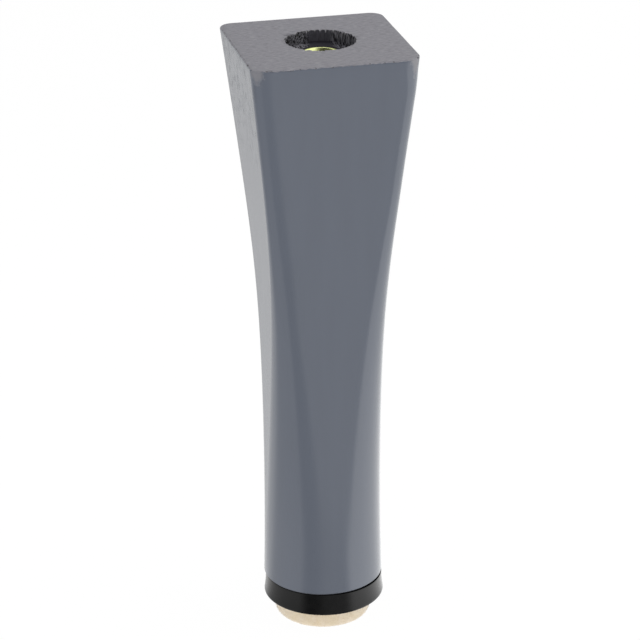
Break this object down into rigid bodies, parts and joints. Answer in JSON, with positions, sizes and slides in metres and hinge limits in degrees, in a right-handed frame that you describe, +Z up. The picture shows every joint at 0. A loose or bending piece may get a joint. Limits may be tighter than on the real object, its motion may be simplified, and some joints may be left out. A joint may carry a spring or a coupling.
{
  "type": "wooden furniture leg",
  "caption": "Grey wooden furniture leg, square at the top and round at the foot, with a threaded insert in a counterbore and a felt-padded plastic foot cap.",
  "frame": {"origin": "on the floor, under the middle of the square top, where the felt pad stands", "axes": "+Z up along the leg towards the threaded insert; X and Y square to the flat faces of the top"},
  "size_m": [0.0538, 0.0538, 0.2],
  "materials": {
    "grey_wood": "satin grey stain under clear lacquer",
    "yellow_metal": "bright yellow passivated metal",
    "black_plastic": "satin moulded plastic",
    "beige_felt": "soft pressed wool felt"
  },
  "bodies": {
    "root": {"wooden_leg": "grey_wood", "threaded_insert": "yellow_metal", "foot_cap": "black_plastic", "felt_pad": "beige_felt"}
  },
  "joints": []
}
